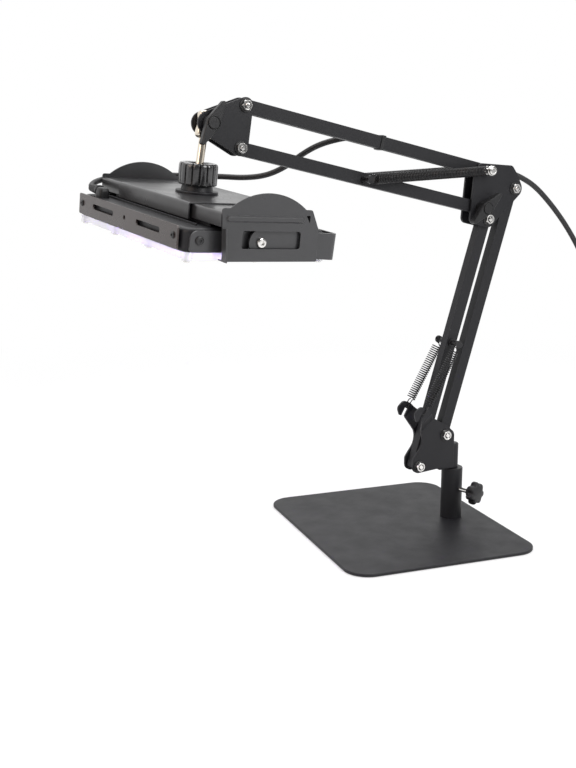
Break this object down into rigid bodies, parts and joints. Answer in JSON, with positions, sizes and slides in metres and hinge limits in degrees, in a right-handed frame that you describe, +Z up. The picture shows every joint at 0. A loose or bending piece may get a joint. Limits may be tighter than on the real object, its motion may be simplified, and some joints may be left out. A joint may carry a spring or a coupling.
{
  "type": "screen exposure lamp",
  "caption": "Flat ultraviolet flood lamp on a spring-balanced twin-bar arm with a ball joint, standing on a steel foot plate, for exposing print screens.",
  "frame": {"origin": "on the socket tube's axis, at the underside of the foot", "axes": "+Z up; X in the plane of the arm, with the lamp towards -X; Y across the arm"},
  "size_m": [0.7307, 0.331, 0.5469],
  "materials": {
    "powder_black": "satin black powder coat",
    "lamp_black": "satin black coating on aluminium sheet",
    "cast_black": "fine textured black coating on die-cast aluminium",
    "bright_steel": "bright plated steel",
    "spring_steel": "oiled black spring wire",
    "moulded_black": "black moulded nylon",
    "clear_cover": "clear moulded polycarbonate",
    "board_white": "white masked aluminium circuit board",
    "emitter": "encapsulated emitters",
    "cord_black": "black rubber sheath",
    "pad_black": "black foam rubber"
  },
  "bodies": {
    "root": {"base_plate": "powder_black", "base_pad": "pad_black", "base_screw": "bright_steel", "socket_tube": "powder_black", "tube_plug": "bright_steel", "socket_bush": "moulded_black", "lead_tail": "cord_black", "lead_coil": "cord_black", "lead_plug": "cord_black"},
    "star_clamp": {"star_knob": "moulded_black", "star_stud": "bright_steel"},
    "mast": {"mast_pin": "powder_black", "mast_plate_near": "powder_black", "mast_plate_far": "powder_black", "mast_bolts": "bright_steel", "lower_spring_near": "spring_steel", "lower_spring_far": "spring_steel"},
    "lower_rear": {"lower_bar_rear": "powder_black"},
    "lower_front": {"lower_bar_front": "powder_black", "lower_spring_pin": "spring_steel"},
    "elbow": {"elbow_plate_near": "powder_black", "elbow_plate_far": "powder_black", "elbow_bolts": "bright_steel", "elbow_cord_clip": "moulded_black", "upper_spring_near": "spring_steel", "upper_spring_far": "spring_steel"},
    "upper_bottom": {"upper_bar_bottom": "powder_black", "upper_spring_pin": "spring_steel"},
    "upper_top": {"upper_bar_top": "powder_black", "upper_cord_tie": "moulded_black", "lead_head": "cord_black", "lead_arm": "cord_black"},
    "wrist": {"wrist_plate_near": "powder_black", "wrist_plate_far": "powder_black", "wrist_bolts": "bright_steel"},
    "elbow_clamp": {"elbow_wing_knob": "moulded_black"},
    "wrist_clamp": {"wrist_wing_knob": "moulded_black"},
    "post": {"ball_post": "bright_steel"},
    "seat_upper": {"ball_seat_upper": "moulded_black"},
    "seat_lower": {"ball_seat_lower": "moulded_black"},
    "lamp": {"socket_base": "powder_black", "socket_screw": "bright_steel", "top_cover": "lamp_black", "bridge_channel": "lamp_black", "side_plate_near": "lamp_black", "side_plate_far": "lamp_black", "side_straps": "lamp_black", "holder_screws": "bright_steel", "mounting_strip": "lamp_black", "housing": "cast_black", "led_board": "board_white", "uv_emitters": "emitter", "driver_box": "moulded_black", "lens_cover": "clear_cover", "lens_screws": "bright_steel", "cord_gland": "moulded_black", "yoke_screws": "bright_steel"},
    "collar": {"collar_nut": "moulded_black"},
    "yoke": {"lamp_yoke": "lamp_black"}
  },
  "joints": [
    {"name": "star_knob_turn", "type": "hinge", "parent": "root", "child": "star_clamp", "pos_m": [0.01174, -0.03614, 0.045], "axis": [0.309, -0.9511, 0], "continuous": true},
    {"name": "mast_swivel", "type": "hinge", "parent": "root", "child": "mast", "pos_m": [0, 0, 0.0735], "axis": [0, 0, 1], "continuous": true, "deforming": ["lead_tail"]},
    {"name": "lower_arm_lean", "type": "hinge", "parent": "mast", "child": "lower_rear", "pos_m": [-0.0196, 0, 0.1222], "axis": [0, -1, 0], "range_deg": [-10, 22], "deforming": ["lower_spring_near", "lower_spring_far"]},
    {"name": "lower_front_follow", "type": "hinge", "parent": "mast", "child": "lower_front", "pos_m": [-0.05982, 0, 0.08469], "axis": [0, -1, 0], "range_deg": [-10, 22]},
    {"name": "elbow_follow", "type": "hinge", "parent": "lower_rear", "child": "elbow", "pos_m": [0.07688, 0, 0.43778], "axis": [0, -1, 0], "range_deg": [-22, 10]},
    {"name": "upper_arm_lift", "type": "hinge", "parent": "elbow", "child": "upper_bottom", "pos_m": [0.02502, 0, 0.41462], "axis": [0, -1, 0], "range_deg": [-30, 35], "deforming": ["upper_spring_near", "upper_spring_far"]},
    {"name": "upper_top_follow", "type": "hinge", "parent": "elbow", "child": "upper_top", "pos_m": [0.032, 0, 0.4613], "axis": [0, -1, 0], "range_deg": [-30, 35], "deforming": ["lead_arm"]},
    {"name": "wrist_follow", "type": "hinge", "parent": "upper_top", "child": "wrist", "pos_m": [-0.30234, 0, 0.53787], "axis": [0, -1, 0], "range_deg": [-35, 30], "deforming": ["lead_head"]},
    {"name": "elbow_knob_turn", "type": "hinge", "parent": "elbow", "child": "elbow_clamp", "pos_m": [0.02502, -0.02, 0.41462], "axis": [0, -1, 0], "continuous": true},
    {"name": "wrist_knob_turn", "type": "hinge", "parent": "wrist", "child": "wrist_clamp", "pos_m": [-0.3475, -0.02, 0.5185], "axis": [0, -1, 0], "continuous": true},
    {"name": "wrist_tilt", "type": "hinge", "parent": "wrist", "child": "post", "pos_m": [-0.3475, 0, 0.5185], "axis": [0, -1, 0], "range_deg": [-75, 15]},
    {"name": "ball_tilt_side", "type": "hinge", "parent": "post", "child": "seat_upper", "pos_m": [-0.3574, 0, 0.4622], "axis": [0, 1, 0], "range_deg": [-11.5, 24]},
    {"name": "ball_tilt_front", "type": "hinge", "parent": "seat_upper", "child": "seat_lower", "pos_m": [-0.3574, 0, 0.4622], "axis": [0.9978, 0, -0.0665], "range_deg": [-22, 13]},
    {"name": "lamp_swivel", "type": "hinge", "parent": "seat_lower", "child": "lamp", "pos_m": [-0.3574, 0, 0.4622], "axis": [0.0663, -0.08, 0.9946], "range_deg": [-60, 60]},
    {"name": "collar_turn", "type": "hinge", "parent": "lamp", "child": "collar", "pos_m": [-0.3574, 0, 0.4622], "axis": [0.0663, -0.08, 0.9946], "continuous": true},
    {"name": "yoke_swing", "type": "hinge", "parent": "lamp", "child": "yoke", "pos_m": [-0.36085, 0.00416, 0.41048], "axis": [-0.087, 0.9925, 0.0857], "range_deg": [-4, 2]}
  ],
  "couplings": [
    {"joint": "lower_front_follow", "follows": "lower_arm_lean", "ratio": 1},
    {"joint": "elbow_follow", "follows": "lower_arm_lean", "ratio": -1},
    {"joint": "upper_top_follow", "follows": "upper_arm_lift", "ratio": 1},
    {"joint": "wrist_follow", "follows": "upper_arm_lift", "ratio": -1}
  ]
}
